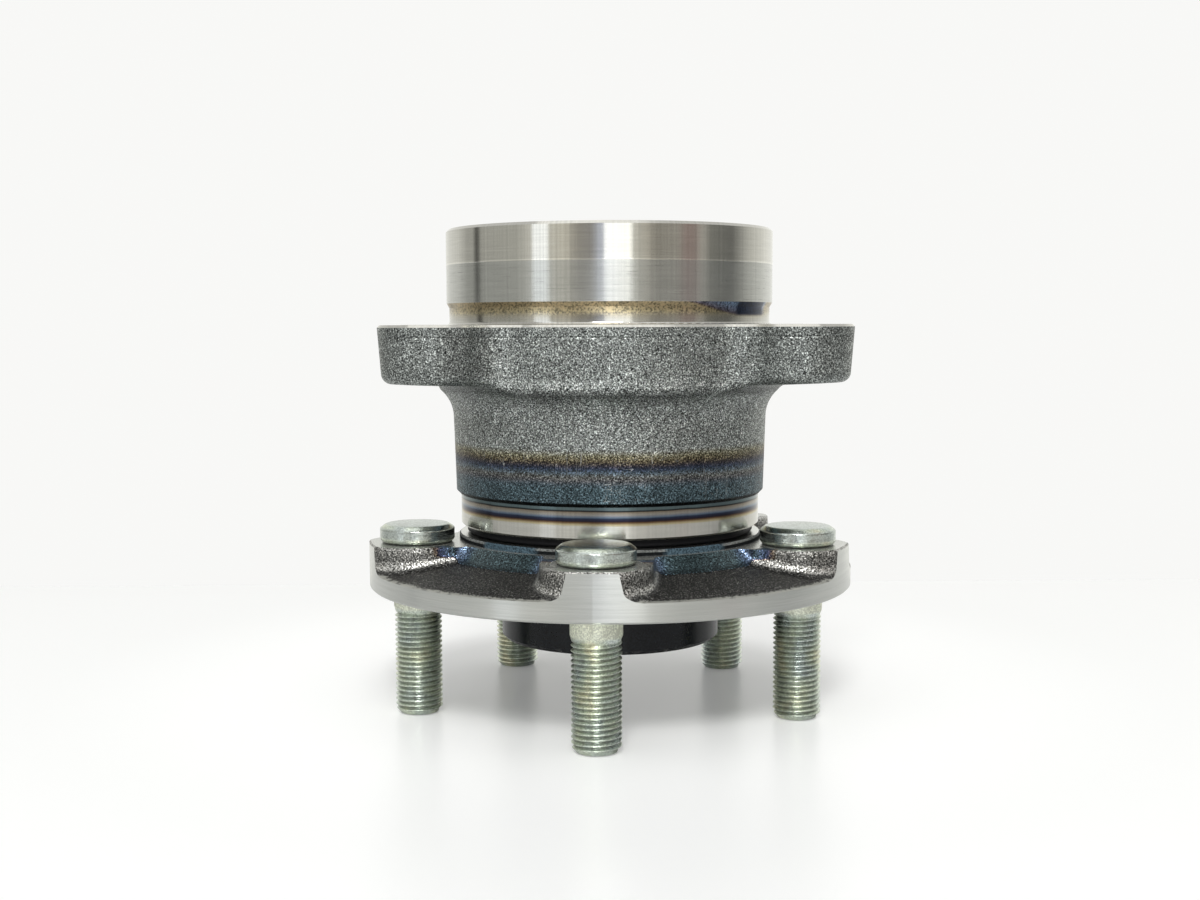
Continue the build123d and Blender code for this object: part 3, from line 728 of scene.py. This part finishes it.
def make_pilot_coating():
    """Satin black coating of the wheel pilot and nut recess, over fine turning marks."""
    material, tree, shader = start_material(
        "pilot_coating", metallic=0.0, roughness=0.3, Specular_IOR_Level=0.22
    )
    at = use(tree, bearing_place)
    marks = lathe_marks(tree, at, 0.35)
    skin = skin_at(tree, at, 0.5)
    tone = times(tree, lerp(tree, skin["Grains"], 0.7, 1.3), lerp(tree, marks["Marks"], 0.8, 1.2))
    worn = between(tree, at["Height"], -14.35, -13.3, 0.3)
    worn = times(tree, worn, fade(tree, skin["Dents"], 0.5, 0.6))
    coat = painted(tree, (0.007, 0.0085, 0.011), worn, 0.35, (0.10, 0.10, 0.095))
    relief = plus(tree, marks["Marks"], times(tree, skin["Grains"], 0.5))
    rough = lerp(tree, skin["Clouds"], 0.20, 0.30)
    dress(tree, shader, scaled(tree, coat, tone), rough, relief, 0.010)
    return material


def make_stud_plating():
    """Passivated zinc on the studs: greenish and yellowish clouds, dull specks, thread roots painted
    darker as shade, a slate top and a darker side on the heads painted as shade, and painted shade under
    them."""
    material, tree, shader = start_material("stud_plating", roughness=0.3)
    at = use(tree, bearing_place)
    skin = skin_at(tree, at, 0.38)
    film = noise(tree, at["Place"], 0.16, 3.0)
    zinc = ramp(
        tree,
        film,
        [
            (0.30, (0.60, 0.66, 0.64)),
            (0.44, (0.62, 0.68, 0.60)),
            (0.58, (0.65, 0.70, 0.58)),
            (0.72, (0.74, 0.73, 0.57)),
        ],
    )
    collar = between(tree, at["Height"], COLLAR_START, 0.2, 0.8)
    zinc = painted(tree, zinc, collar, 0.8, (0.78, 0.80, 0.67))
    # The head's top, painted darker as shade
    painted_head_top_shade = fade(tree, at["Height"], HEAD_TOP - 0.25, HEAD_TOP - 0.05)
    zinc = painted(tree, zinc, painted_head_top_shade, 0.85, (0.44, 0.49, 0.48))
    # The head's side, painted darker as shade
    painted_head_side_shade = between(tree, at["Height"], 13.2, 15.6, 0.5)
    zinc = painted(tree, zinc, painted_head_side_shade, 0.8, (0.47, 0.51, 0.49))
    # Painted shade under the head's lower edge
    painted_shade_under_head = fade(tree, at["Height"], BOSS_HEIGHT - 0.3, BOSS_HEIGHT - 0.1)
    painted_shade_under_head = times(tree, fall(tree, at["Height"], 11.9, 12.6), painted_shade_under_head)
    zinc = painted(tree, zinc, painted_shade_under_head, 0.8, (0.05, 0.05, 0.05))

    # Thread roots are painted darker as shade, and the specks are dark
    shank = between(tree, at["Height"], THREAD_START + 0.5, THREAD_END + 0.2, 0.6)
    painted_root_shade = times(tree, fall(tree, stud_at(tree, at)["Out"], 5.22, 5.55), shank)
    tone = times(tree, lerp(tree, skin["Grains"], 0.74, 1.24), lerp(tree, film, 0.88, 1.12))
    tone = times(tree, tone, lerp(tree, painted_root_shade, lerp(tree, shank, 1.0, 1.05), 0.50))
    specks = fade(tree, skin["Dents"], 0.58, 0.66)
    specks = times(tree, specks, fade(tree, skin["Grains"], 0.35, 0.6))
    zinc = painted(tree, zinc, specks, 0.4, (0.20, 0.19, 0.15))
    rough = calc(tree, "MULTIPLY_ADD", shank, 0.07, lerp(tree, film, 0.14, 0.32))
    rough = lerp(tree, collar, rough, 0.45)
    relief = plus(tree, skin["Relief"], skin["Dents"])
    dress(tree, shader, scaled(tree, zinc, tone), rough, relief, 0.03)
    return material


def make_ground_steel(name, colour, roughness, feed_mm, anisotropic=0.6):
    """Ground or pressed bearing steel with fine marks round the axis."""
    material, tree, shader = start_material(name, anisotropic=anisotropic)
    at = use(tree, bearing_place)
    marks = lathe_marks(tree, at, feed_mm)
    tone = lerp(tree, marks["Marks"], 0.9, 1.08)
    rough = lerp(tree, marks["Streaks"], roughness * 0.8, roughness * 1.2)
    dress(tree, shader, scaled(tree, colour, tone), rough, marks["Marks"], 0.003)
    return material


def make_ball_steel():
    """Polished balls with a faint film of grease."""
    material, tree, shader = start_material("ball_steel", roughness=0.07)
    at = use(tree, bearing_place)
    film = noise(tree, at["Place"], 0.5, 2.0)
    colour = ramp(tree, film, [(0.35, (0.74, 0.74, 0.73)), (0.7, (0.62, 0.60, 0.54))])
    dress(tree, shader, colour, lerp(tree, film, 0.04, 0.14))
    return material


def make_cage_polymer():
    """Glass-filled nylon of the cages: honey coloured, with a fine moulded grain."""
    material, tree, shader = start_material(
        "cage_polymer", metallic=0.0, roughness=0.45, Subsurface_Weight=0.08, Subsurface_Scale=0.002
    )
    at = use(tree, bearing_place)
    skin = skin_at(tree, at, 0.7)
    colour = scaled(tree, (0.55, 0.45, 0.27), lerp(tree, skin["Clouds"], 0.85, 1.15))
    dress(tree, shader, colour, lerp(tree, skin["Grains"], 0.4, 0.55), skin["Relief"], 0.012)
    return material


def make_rubber(name, colour, roughness, grain, gloss=0.5):
    """Moulded rubber: nearly black, slightly mottled, with a fine matt grain."""
    material, tree, shader = start_material(
        name, metallic=0.0, roughness=roughness, Specular_IOR_Level=gloss
    )
    at = use(tree, bearing_place)
    skin = skin_at(tree, at, grain)
    colour = scaled(tree, colour, lerp(tree, skin["Clouds"], 0.8, 1.25))
    rough = lerp(tree, skin["Grains"], roughness - 0.08, roughness + 0.08)
    dress(tree, shader, colour, rough, skin["Relief"], 0.015)
    return material


ring_seats = make_ring_seats()
ring_forging = make_ring_forging()
tapped_holes = make_bolt_holes()
hub_turned = make_hub_turned()
seal_land = make_seal_land()
hub_forging = make_hub_forging()
pilot_coating = make_pilot_coating()
stud_plating = make_stud_plating()
ground_steel = make_ground_steel("ground_steel", (0.62, 0.615, 0.59), 0.16, 0.12)
pressed_steel = make_ground_steel("pressed_steel", (0.50, 0.50, 0.48), 0.3, 0.4, 0.3)
black_case = make_rubber("black_seal_case", (0.004, 0.004, 0.005), 0.5, 0.6, 0.12)
ball_steel = make_ball_steel()
cage_polymer = make_cage_polymer()
seal_rubber = make_rubber("seal_rubber", (0.006, 0.006, 0.007), 0.65, 0.4, 0.15)
encoder_rubber = make_rubber("encoder_rubber", (0.05, 0.046, 0.042), 0.5, 0.35)


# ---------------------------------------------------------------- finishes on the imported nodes


def face_places(node):
    """Radius, height and place of every face's middle, in millimetres, as arrays."""
    mesh = node.data
    middles = np.empty(len(mesh.polygons) * 3)
    mesh.polygons.foreach_get("center", middles)
    middles = middles.reshape(-1, 3) / MM
    return np.hypot(middles[:, 0], middles[:, 1]), middles[:, 2], middles


def finish_node(node, materials, choice=None):
    """Gives a node its materials; choice is the material's number for every face."""
    node.data.materials.clear()
    for material in materials:
        node.data.materials.append(material)
    if choice is not None:
        node.data.polygons.foreach_set("material_index", choice.astype(np.int32))


def finish_outer_ring(node):
    """Forging between the end band and the flange's top chamfer, tapped holes, and turned steel
    elsewhere."""
    radius, height, places = face_places(node)
    to_bolt = np.hypot(
        np.abs(places[:, 0]) - BOLT_HALF_WIDTH,
        np.abs(places[:, 1]) - BOLT_HALF_DEPTH,
    )
    hole_radius, hole_start = 6.25, 50.0
    forged = (radius > END_BAND_RADIUS + 1.0) & (height > BARREL_START - 0.02)
    forged &= height < FLANGE_TOP - FLANGE_CHAMFER
    tapped = (to_bolt < hole_radius) & (height > hole_start) & (height < FLANGE_TOP - 0.02)
    choice = np.select([tapped, forged], [2, 1], 0)
    finish_node(node, (ring_seats, ring_forging, tapped_holes), choice)


def finish_wheel_hub(node):
    """Forged pockets, the coated pilot and recess, the land round the seal, and turned steel
    elsewhere."""
    radius, height, places = face_places(node)
    stud_turns = np.radians(FIRST_STUD_ANGLE + STUD_STEP * np.arange(STUD_COUNT))
    to_stud = np.min(
        np.hypot(
            places[:, :1] - STUD_CIRCLE_RADIUS * np.cos(stud_turns),
            places[:, 1:2] - STUD_CIRCLE_RADIUS * np.sin(stud_turns),
        ),
        axis=1,
    )
    pocket_start, bore_radius = 4.5, 6.6
    land_top, land_inner_radius = 13.2, 36.0
    forged = (radius > HUB_LAND_RADIUS - 0.02) & (radius < RIM_RADIUS - 0.06)
    forged &= (height > pocket_start) & (to_stud > bore_radius)
    land = (radius > land_inner_radius) & (radius < HUB_LAND_RADIUS + 0.02)
    land &= (height > BOSS_HEIGHT + 0.02) & (height < land_top)
    coated = (height < 0.49) & (radius < PILOT_RADIUS + 0.05)
    choice = np.select([coated, land, forged], [2, 3, 1], 0)
    finish_node(node, (hub_turned, hub_forging, pilot_coating, seal_land), choice)


plain_finishes = {
    "inner_ring": ground_steel,
    "outboard_cage": cage_polymer,
    "inboard_cage": cage_polymer,
    "outboard_seal_case": black_case,
    "outboard_seal_lip": seal_rubber,
    "inboard_seal_case": pressed_steel,
    "inboard_seal_lip": seal_rubber,
    "encoder_slinger": pressed_steel,
    "encoder_ring": encoder_rubber,
}
for name, node in nodes.items():
    if name == "outer_ring":
        finish_outer_ring(node)
    elif name == "wheel_hub":
        finish_wheel_hub(node)
    elif "_ball_" in name:
        finish_node(node, (ball_steel,))
    elif name in plain_finishes:
        finish_node(node, (plain_finishes[name],))
    else:
        finish_node(node, (stud_plating,))


# ---------------------------------------------------------------- threaded wheel studs


def new_object(name, data):
    """An object of the scene that shows a mesh, a lamp or a camera."""
    made = bpy.data.objects.new(name, data)
    bpy.context.scene.collection.objects.link(made)
    return made


def rounded_outline(corners):
    """Outline through corners of (radius, height, rounding): each corner is cut by its rounding and
    bent along the curve a*(1-t)^2 + 2*b*t*(1-t) + c*t^2 between the two cut points a and c, with b
    the corner."""
    steps, shortest, closest = 4, 1e-9, 1e-6
    points = np.array([corner[:2] for corner in corners], float)
    cuts = np.array([corner[2] for corner in corners], float)
    back = np.vstack([points[:1], points[:-1]]) - points
    ahead = np.vstack([points[1:], points[-1:]]) - points
    back_length = np.maximum(np.linalg.norm(back, axis=1, keepdims=True), shortest)
    ahead_length = np.maximum(np.linalg.norm(ahead, axis=1, keepdims=True), shortest)
    a = points + back / back_length * cuts[:, None]
    c = points + ahead / ahead_length * cuts[:, None]
    t = np.linspace(0.0, 1.0, steps + 1)[None, :, None]
    curve = a[:, None] * (1 - t) ** 2 + 2 * points[:, None] * t * (1 - t) + c[:, None] * t**2
    curve = curve.reshape(-1, 2)
    keep = np.r_[True, np.linalg.norm(np.diff(curve, axis=0), axis=1) > closest]
    return curve[keep]


def straight_outline(radius, start, end):
    """Outline of rings 0.1 mm apart at one radius, close enough for a thread."""
    heights = np.arange(start, end, 0.1)
    return np.stack([np.full_like(heights, radius), heights], axis=1)


def thread_depth(height, turn):
    """Depth below the crest of a right-hand thread: a flank wave of height / pitch - turn / full
    turn, flat at its crests and round at its roots, that fades in above its start and out below its
    end."""
    crest_share, flank_share, root_bend = 0.10, 0.78, 0.045
    run_in, run_out = 0.5, 1.1
    phase = height / THREAD_PITCH - turn / (2 * np.pi)
    wave = 1.0 - np.abs(2.0 * (phase - np.floor(phase)) - 1.0)
    flank = np.clip((wave - crest_share) / flank_share, 0.0, 1.0)
    rounded = flank - root_bend * np.sin(2 * np.pi * flank)
    fade_in = np.clip((height - THREAD_START) / run_in, 0.0, 1.0)
    fade_out = np.clip((THREAD_END - height) / run_out, 0.0, 1.0)
    return THREAD_DEPTH * rounded * fade_in * fade_out


def make_stud(name, turn_angle):
    """A wheel stud as one closed surface round its own axis: radius is a function of height and turn,
    an outline of head, knurl, collar and point with the thread cut into it:
    (x, y) = centre + (outline radius(height) - thread depth(height, turn)) * (cos turn, sin turn)."""
    point_end, chamfer_radius = -30.3, 4.9
    point = rounded_outline(
        [
            (0.0, FLOOR_HEIGHT, 0.0),
            (4.15, FLOOR_HEIGHT, 0.25),
            (4.4, -31.62, 0.08),
            (4.75, -31.62, 0.12),
            (5.88, point_end, 0.3),
            (THREAD_RADIUS, -28.0, 0.0),
        ]
    )
    upper = rounded_outline(
        [
            (THREAD_RADIUS, -5.9, 0.0),
            (6.12, -4.25, 0.35),
            (6.12, -0.55, 0.2),
            (6.0, -0.25, 0.12),
            (6.12, 0.0, 0.05),
            (6.3, 0.05, 0.02),
            (6.3, BOSS_HEIGHT, 0.0),
            (8.62, BOSS_HEIGHT, 0.12),
            (9.37, 12.68, 0.35),
            (9.30, 14.05, 0.2),
            (9.37, 15.3, 0.35),
            (7.95, 16.38, 0.5),
            (4.0, 16.52, 0.8),
            (0.0, 16.56, 0.0),
        ]
    )
    outline = np.vstack(
        [
            point[point[:, 1] < point_end],
            straight_outline(5.895, -30.25, -28.05),
            straight_outline(THREAD_RADIUS, -27.9, -5.95),
            upper,
        ]
    )

    # The outline turned round the stud's axis, with the thread cut outside the chamfer of the point
    columns = 96
    turns = np.linspace(0.0, 2 * np.pi, columns, endpoint=False)
    rings = outline[1:-1]
    height = np.repeat(rings[:, 1:2], columns, axis=1)
    turn = np.repeat(turns[None, :], len(rings), axis=0)
    radius = rings[:, :1] - thread_depth(height, turn) * (rings[:, :1] > chamfer_radius)
    centre_x = STUD_CIRCLE_RADIUS * math.cos(turn_angle)
    centre_y = STUD_CIRCLE_RADIUS * math.sin(turn_angle)
    grid = [centre_x + radius * np.cos(turn), centre_y + radius * np.sin(turn), height]
    grid = np.stack(grid, axis=2).reshape(-1, 3)
    poles = [[centre_x, centre_y, outline[0, 1]], [centre_x, centre_y, outline[-1, 1]]]
    points = np.vstack([grid, poles]) * MM

    # Four-sided faces between the rings, and fans that close both ends
    rows = len(rings)
    row, column = np.meshgrid(np.arange(rows - 1), np.arange(columns), indexing="ij")
    here, beside = row * columns + column, row * columns + (column + 1) % columns
    quads = np.stack([here, beside, beside + columns, here + columns], axis=2).reshape(-1, 4)
    first = np.arange(columns)
    after = (first + 1) % columns
    last = (rows - 1) * columns
    bottom = np.stack([after, first, np.full(columns, len(grid))], axis=1)
    top = np.stack([last + first, last + after, np.full(columns, len(grid) + 1)], axis=1)
    mesh = bpy.data.meshes.new(name)
    mesh.from_pydata(points, [], [*quads.tolist(), *bottom.tolist(), *top.tolist()])
    mesh.polygons.foreach_set("use_smooth", np.ones(len(mesh.polygons), bool))
    mesh.materials.append(stud_plating)
    mesh.update()
    return new_object(name, mesh)


for number in range(STUD_COUNT):
    angle = math.radians(FIRST_STUD_ANGLE + STUD_STEP * number)
    stud = make_stud(f"threaded_stud_{number + 1}", angle)
    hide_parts(f"wheel_stud_{number + 1}")
    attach(stud, "wheel_side")


# ---------------------------------------------------------------- table, light and camera


def make_table():
    """A white table top with a soft sheen; it ends behind the bearing, in front of a white room."""
    material, tree, shader = start_material("white_table", metallic=0.0, roughness=0.30, IOR=1.40)
    coords = tree.nodes.new("ShaderNodeTexCoord").outputs["Object"]
    waves = noise(tree, coords, 90.0, 2.0)
    dress(tree, shader, (0.80, 0.805, 0.80), relief=waves, depth=0.02)

    # The camera sees the table a little brighter than its light: an even glow, lowered near the bearing
    # as a painted shadow and raised in a ring just outside it as a painted pool of light
    table_height = FLOOR_HEIGHT * MM
    inputs = {0: coords, 1: (0.0, 0.03, table_height)}
    away = add(tree, "ShaderNodeVectorMath", inputs, operation="DISTANCE").outputs["Value"]
    glow_with_painted_shadow = fade(tree, away, 0.050, 0.072, 0.12, 0.28)
    # The glow falls again farther out, leaving a painted pool of light round the painted shadow
    glow_with_painted_shadow = minus(tree, glow_with_painted_shadow, fade(tree, away, 0.08, 0.16, 0.0, 0.07))
    camera_ray = tree.nodes.new("ShaderNodeLightPath").outputs["Is Camera Ray"]
    feed(tree, shader.inputs["Emission Color"], WHITE)
    feed(tree, shader.inputs["Emission Strength"], times(tree, camera_ray, glow_with_painted_shadow))

    # The far edge runs slightly aslant
    corners = [(-3.0, -3.0), (3.0, -3.0), (3.0, 0.085), (-3.0, 0.277)]
    mesh = bpy.data.meshes.new("table")
    mesh.from_pydata([(x, y, table_height) for x, y in corners], [], [(0, 1, 2, 3)])
    mesh.materials.append(material)
    table = new_object("table", mesh)


def make_room():
    """A white room seen by the camera; metal sees its windows, doorways and shaded side. The list gives
    the colour at each turn in degrees to the right of -Y, which is nearly the camera's side."""
    walls = [
        (-180, (0.95, 0.95, 0.90)),
        (-133, (0.80, 0.80, 0.76)),
        (-119, (0.50, 0.50, 0.47)),
        (-70, (0.53, 0.53, 0.49)),
        (-58, (0.78, 0.77, 0.72)),
        (-33, (0.78, 0.75, 0.66)),
        (-26, (0.40, 0.38, 0.34)),
        (-15, (0.30, 0.29, 0.28)),
        (-9, (0.60, 0.65, 0.80)),
        (13, (0.75, 0.74, 0.68)),
        (22, (0.60, 0.57, 0.50)),
        (28, (0.34, 0.32, 0.28)),
        (44, (0.40, 0.38, 0.34)),
        (50, (0.36, 0.28, 0.26)),
        (57, (0.33, 0.26, 0.24)),
        (63, (0.52, 0.50, 0.46)),
        (70, (0.24, 0.24, 0.22)),
        (90, (0.18, 0.18, 0.17)),
        (110, (0.68, 0.68, 0.64)),
        (137, (1.0, 1.0, 0.95)),
    ]
    world = bpy.data.worlds.new("white_room")
    bpy.context.scene.world = world
    world.use_nodes = True
    tree = world.node_tree
    tree.nodes.clear()
    out = tree.nodes.new("ShaderNodeOutputWorld")
    direction = tree.nodes.new("ShaderNodeTexCoord").outputs["Generated"]
    split = add(tree, "ShaderNodeSeparateXYZ", {0: direction}).outputs
    turn = calc(tree, "ARCTAN2", split[0], times(tree, split[1], -1.0))
    share = calc(tree, "MULTIPLY_ADD", turn, 0.5 / math.pi, 0.5)
    wall = ramp(tree, share, [((angle + 180) / 360, colour) for angle, colour in walls])
    post_turn = math.radians(-107.0)
    from_post = calc(tree, "ABSOLUTE", minus(tree, turn, post_turn))
    wall = scaled(tree, wall, fade(tree, from_post, 0.02, 0.09, 0.25, 1.0))
    up = fade(tree, split[2], 0.15, 0.8)
    seen = blend(tree, up, wall, (0.75, 0.75, 0.74))
    path = tree.nodes.new("ShaderNodeLightPath").outputs
    white = calc(tree, "MAXIMUM", path["Is Camera Ray"], path["Is Transmission Ray"])
    colour = blend(tree, path["Is Glossy Ray"], (0.50, 0.50, 0.50), seen)
    colour = blend(tree, white, colour, (0.94, 0.94, 0.925))
    back = add(tree, "ShaderNodeBackground", {"Color": colour, "Strength": 1.0})
    feed(tree, out.inputs["Surface"], back.outputs[0])


def make_softbox(name, turn, distance, height, width, length, radiance, colour):
    """A soft box that faces the bearing. Its turn is in degrees to the right of the camera, its sizes
    are in metres, and its power is radiance times area times pi."""
    lamp = bpy.data.lights.new(name, "AREA")
    lamp.shape = "RECTANGLE"
    lamp.size, lamp.size_y = width, length
    lamp.energy = radiance * width * length * math.pi
    lamp.color = colour
    box = new_object(name, lamp)
    around = math.radians(CAMERA_SIDE + turn)
    box.location = (distance * math.cos(around), distance * math.sin(around), height)
    aim = Vector((0.0, 0.0, AIM_HEIGHT)) - box.location
    box.rotation_euler = aim.to_track_quat("-Z", "Y").to_euler()
    box.visible_camera = False


def make_camera():
    """The camera: its place is in metres, it looks 4.7 degrees down along a flat heading, and it rolls
    by an angle in radians."""
    data = bpy.data.cameras.new("camera")
    data.lens = 46.3
    data.sensor_width = 36.0
    data.clip_start = 0.01
    place, heading = (-0.02329, -0.39706, 0.06634), (0.0523, 0.9986)
    pitch, roll = math.radians(-4.70), -0.003
    level = math.cos(pitch)
    ahead = Vector((heading[0] * level, heading[1] * level, math.sin(pitch)))
    turned = ahead.to_track_quat("-Z", "Y").to_matrix().to_4x4() @ Matrix.Rotation(roll, 4, "Z")
    camera = new_object("camera", data)
    camera.matrix_world = Matrix.Translation(place) @ turned
    bpy.context.scene.camera = camera


make_table()
make_room()
# Name, turn, distance, height, width, length, radiance and colour
make_softbox("front_box", 6.0, 1.3, 0.35, 0.44, 1.2, 1.2, (1.0, 1.0, 0.98))
make_softbox("left_box", -47.0, 1.3, 0.35, 0.27, 1.2, 0.9, (0.82, 0.89, 1.0))
make_softbox("overhead_box", -20.0, 0.5, 1.5, 1.6, 1.6, 0.55, (1.0, 1.0, 0.99))
make_softbox("key_box", -5.0, 1.0, 0.82, 0.25, 0.25, 35.0, (1.0, 1.0, 0.98))
make_camera()

bpy.context.scene.view_settings.view_transform = "Standard"
